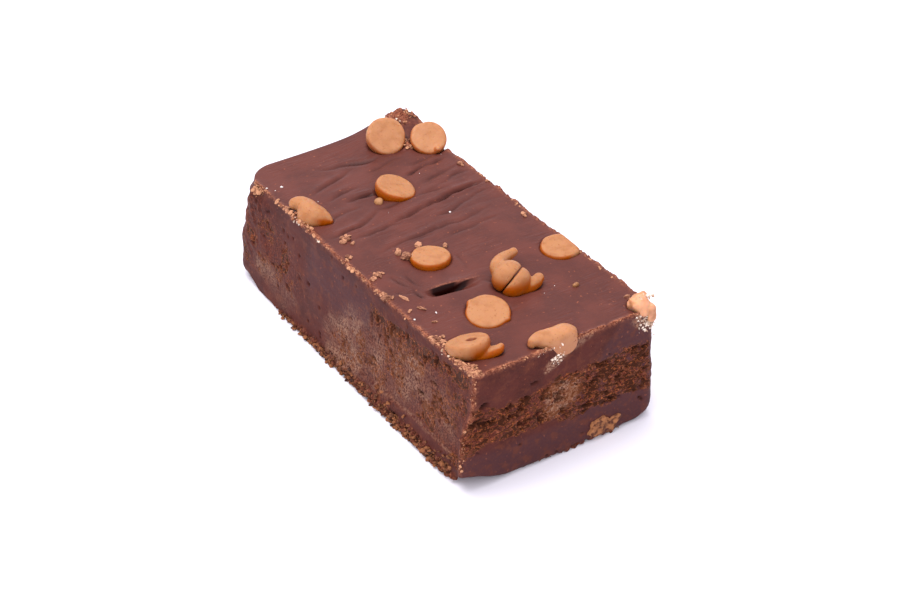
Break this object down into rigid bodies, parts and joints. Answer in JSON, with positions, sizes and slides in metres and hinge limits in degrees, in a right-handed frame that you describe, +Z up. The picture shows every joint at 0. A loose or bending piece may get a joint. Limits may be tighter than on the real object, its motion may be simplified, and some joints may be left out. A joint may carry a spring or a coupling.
{
  "type": "chocolate fudge bar",
  "caption": "Cut rectangular bar of chocolate fudge with a wrinkled poured top, crumbly knife-cut sides and tan baking chips pressed into it.",
  "frame": {"origin": "middle of the footprint, on the surface the bar rests on", "axes": "+Y along the bar to its rounded poured end, +Z up, -X and +X and -Y are the knife-cut faces"},
  "size_m": [0.0515, 0.1055, 0.036],
  "materials": {
    "fudge": "satin chocolate fudge, smooth on top, crumbly where it is cut",
    "chip": "satin, slightly translucent tan baking chip",
    "chip_fragment": "matte ochre, cut through"
  },
  "bodies": {
    "root": {"fudge": "fudge", "chip_disc_corner": "chip", "chip_disc_edge_back": "chip", "chip_disc_tilted": "chip", "chip_disc_middle": "chip", "chip_disc_edge_right": "chip", "chip_disc_large": "chip", "chip_curl_tall": "chip", "chip_curl_low": "chip", "chip_curl_left": "chip", "chip_curl_corner": "chip", "chip_curl_front": "chip", "chip_corner_right": "chip", "chip_fragment_front": "chip_fragment"}
  },
  "joints": []
}
